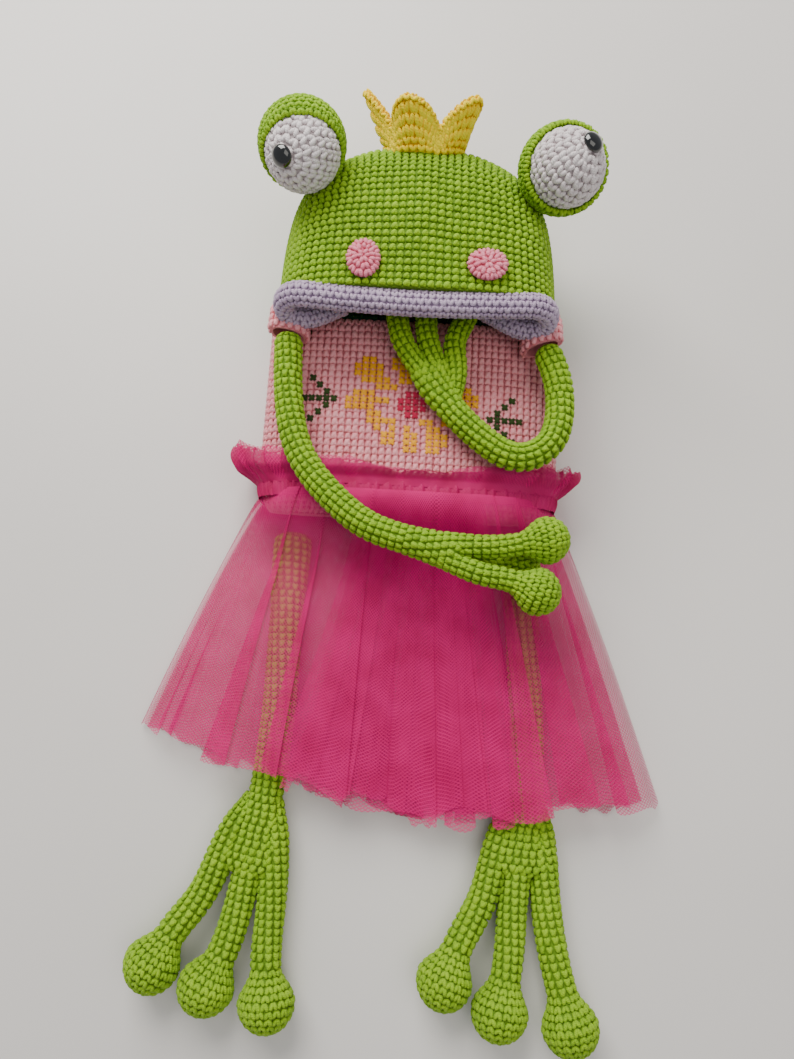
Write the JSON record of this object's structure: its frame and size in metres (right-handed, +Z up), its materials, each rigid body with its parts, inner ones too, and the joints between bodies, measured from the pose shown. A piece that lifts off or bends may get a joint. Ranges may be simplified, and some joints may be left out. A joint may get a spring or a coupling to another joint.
{
  "type": "crocheted frog hand puppet with a zip pouch",
  "caption": "Crocheted frog princess puppet bag lying on its back: hollow hooded head with a wide lip, zip pouch, long jointed arms and legs, net skirt and petal crown.",
  "frame": {"origin": "centre of the pouch's flat back, on the surface it lies on", "axes": "+X to the onlooker's right, +Y from the feet to the crown, +Z up out of the pouch's front"},
  "size_m": [0.292, 0.54, 0.1158],
  "materials": {
    "green_cotton": "matte crocheted cotton",
    "pink_cotton": "matte crocheted cotton",
    "cheek_cotton": "matte crocheted cotton",
    "white_cotton": "matte crocheted cotton",
    "lavender_cotton": "matte crocheted cotton",
    "yellow_cotton": "matte crocheted cotton",
    "gold_thread": "cross-stitched yarn",
    "crimson_thread": "cross-stitched yarn",
    "olive_thread": "cross-stitched yarn",
    "black_plastic": "polished",
    "washer_plastic": "moulded",
    "zip_tape": "woven tape",
    "zip_nylon": "moulded coil",
    "zip_metal": "enamelled",
    "elastic_band": "woven elastic",
    "magenta_tulle": "gathered net"
  },
  "bodies": {
    "pouch": {"pouch_shell": "pink_cotton", "flower_petals": "gold_thread", "flower_centre": "crimson_thread", "leaf_left": "olive_thread", "leaf_right": "olive_thread", "sleeve_left": "pink_cotton", "sleeve_right": "pink_cotton", "hood_back": "green_cotton", "lower_lip": "lavender_cotton", "zip_lower_tape": "zip_tape", "zip_lower_coil": "zip_nylon", "skirt_elastic": "elastic_band", "skirt_waistband": "magenta_tulle", "skirt_ruffle": "magenta_tulle", "skirt_tulle": "magenta_tulle"},
    "head": {"hood_front": "green_cotton", "upper_lip": "lavender_cotton", "cheek_left": "cheek_cotton", "cheek_right": "cheek_cotton", "crown": "yellow_cotton", "zip_upper_tape": "zip_tape", "zip_upper_coil": "zip_nylon", "eye_cup_left": "green_cotton", "eyeball_left": "white_cotton", "pupil_left": "black_plastic", "pupil_washer_left": "washer_plastic", "eye_cup_right": "green_cotton", "eyeball_right": "white_cotton", "pupil_right": "black_plastic", "pupil_washer_right": "washer_plastic"},
    "zip_slider": {"zip_slider": "zip_metal"},
    "zip_puller": {"zip_puller": "zip_metal"},
    "upper_arm_left": {"upper_arm_left": "green_cotton"},
    "forearm_left": {"forearm_left": "green_cotton"},
    "hand_left": {"palm_left": "green_cotton", "finger_left_1": "green_cotton", "finger_left_2": "green_cotton", "finger_left_3": "green_cotton"},
    "thigh_left": {"thigh_left": "green_cotton"},
    "shin_left": {"shin_left": "green_cotton"},
    "foot_left": {"foot_left": "green_cotton", "toe_left_1": "green_cotton", "toe_left_2": "green_cotton", "toe_left_3": "green_cotton"},
    "upper_arm_right": {"upper_arm_right": "green_cotton"},
    "forearm_right": {"forearm_right": "green_cotton"},
    "hand_right": {"palm_right": "green_cotton", "finger_right_1": "green_cotton", "finger_right_2": "green_cotton", "finger_right_3": "green_cotton"},
    "thigh_right": {"thigh_right": "green_cotton"},
    "shin_right": {"shin_right": "green_cotton"},
    "foot_right": {"foot_right": "green_cotton", "toe_right_1": "green_cotton", "toe_right_2": "green_cotton", "toe_right_3": "green_cotton"}
  },
  "joints": [
    {"name": "head_flap", "type": "hinge", "parent": "pouch", "child": "head", "pos_m": [0, 0.1593, 0.0048], "axis": [-1, 0, 0], "range_deg": [0, 15]},
    {"name": "zip_slide", "type": "slide", "parent": "pouch", "child": "zip_slider", "axis": [-1, 0, 0], "range_m": [0, 0.085]},
    {"name": "puller_flip", "type": "hinge", "parent": "zip_slider", "child": "zip_puller", "pos_m": [0.0565, 0.0529, 0.0433], "axis": [1, 0, 0], "range_deg": [0, 35]},
    {"name": "shoulder_left", "type": "hinge", "parent": "pouch", "child": "upper_arm_left", "pos_m": [-0.073, 0.03, 0.0582], "axis": [0, 0, -1], "range_deg": [0, 50]},
    {"name": "elbow_left", "type": "hinge", "parent": "upper_arm_left", "child": "forearm_left", "pos_m": [-0.067, -0.02, 0.0582], "axis": [0, 0, -1], "range_deg": [0, 40]},
    {"name": "wrist_left", "type": "hinge", "parent": "forearm_left", "child": "hand_left", "pos_m": [0, -0.085, 0.0582], "axis": [0, 0, -1], "range_deg": [0, 25]},
    {"name": "shoulder_right", "type": "hinge", "parent": "pouch", "child": "upper_arm_right", "pos_m": [0.073, 0.03, 0.0582], "axis": [0, 0, 1], "range_deg": [0, 22]},
    {"name": "elbow_right", "type": "hinge", "parent": "upper_arm_right", "child": "forearm_right", "pos_m": [0.076, -0.028, 0.0582], "axis": [0, 0, 1], "range_deg": [0, 18]},
    {"name": "wrist_right", "type": "hinge", "parent": "forearm_right", "child": "hand_right", "pos_m": [0.022, -0.01, 0.0582], "axis": [0, 0, 1], "range_deg": [0, 8]},
    {"name": "hip_left", "type": "hinge", "parent": "pouch", "child": "thigh_left", "pos_m": [-0.06574, -0.0754, 0.0112], "axis": [0, 0, -1], "range_deg": [-2, 10]},
    {"name": "knee_left", "type": "hinge", "parent": "thigh_left", "child": "shin_left", "pos_m": [-0.06624, -0.1454, 0.0112], "axis": [0, 0, -1], "range_deg": [-2, 12]},
    {"name": "ankle_left", "type": "hinge", "parent": "shin_left", "child": "foot_left", "pos_m": [-0.06974, -0.2234, 0.0112], "axis": [0, 0, -1], "range_deg": [-5, 15]},
    {"name": "hip_right", "type": "hinge", "parent": "pouch", "child": "thigh_right", "pos_m": [0.06574, -0.0754, 0.0112], "axis": [0, 0, 1], "range_deg": [-2, 10]},
    {"name": "knee_right", "type": "hinge", "parent": "thigh_right", "child": "shin_right", "pos_m": [0.07174, -0.1414, 0.0112], "axis": [0, 0, 1], "range_deg": [-2, 12]},
    {"name": "ankle_right", "type": "hinge", "parent": "shin_right", "child": "foot_right", "pos_m": [0.07474, -0.2174, 0.0112], "axis": [0, 0, 1], "range_deg": [-5, 15]}
  ]
}
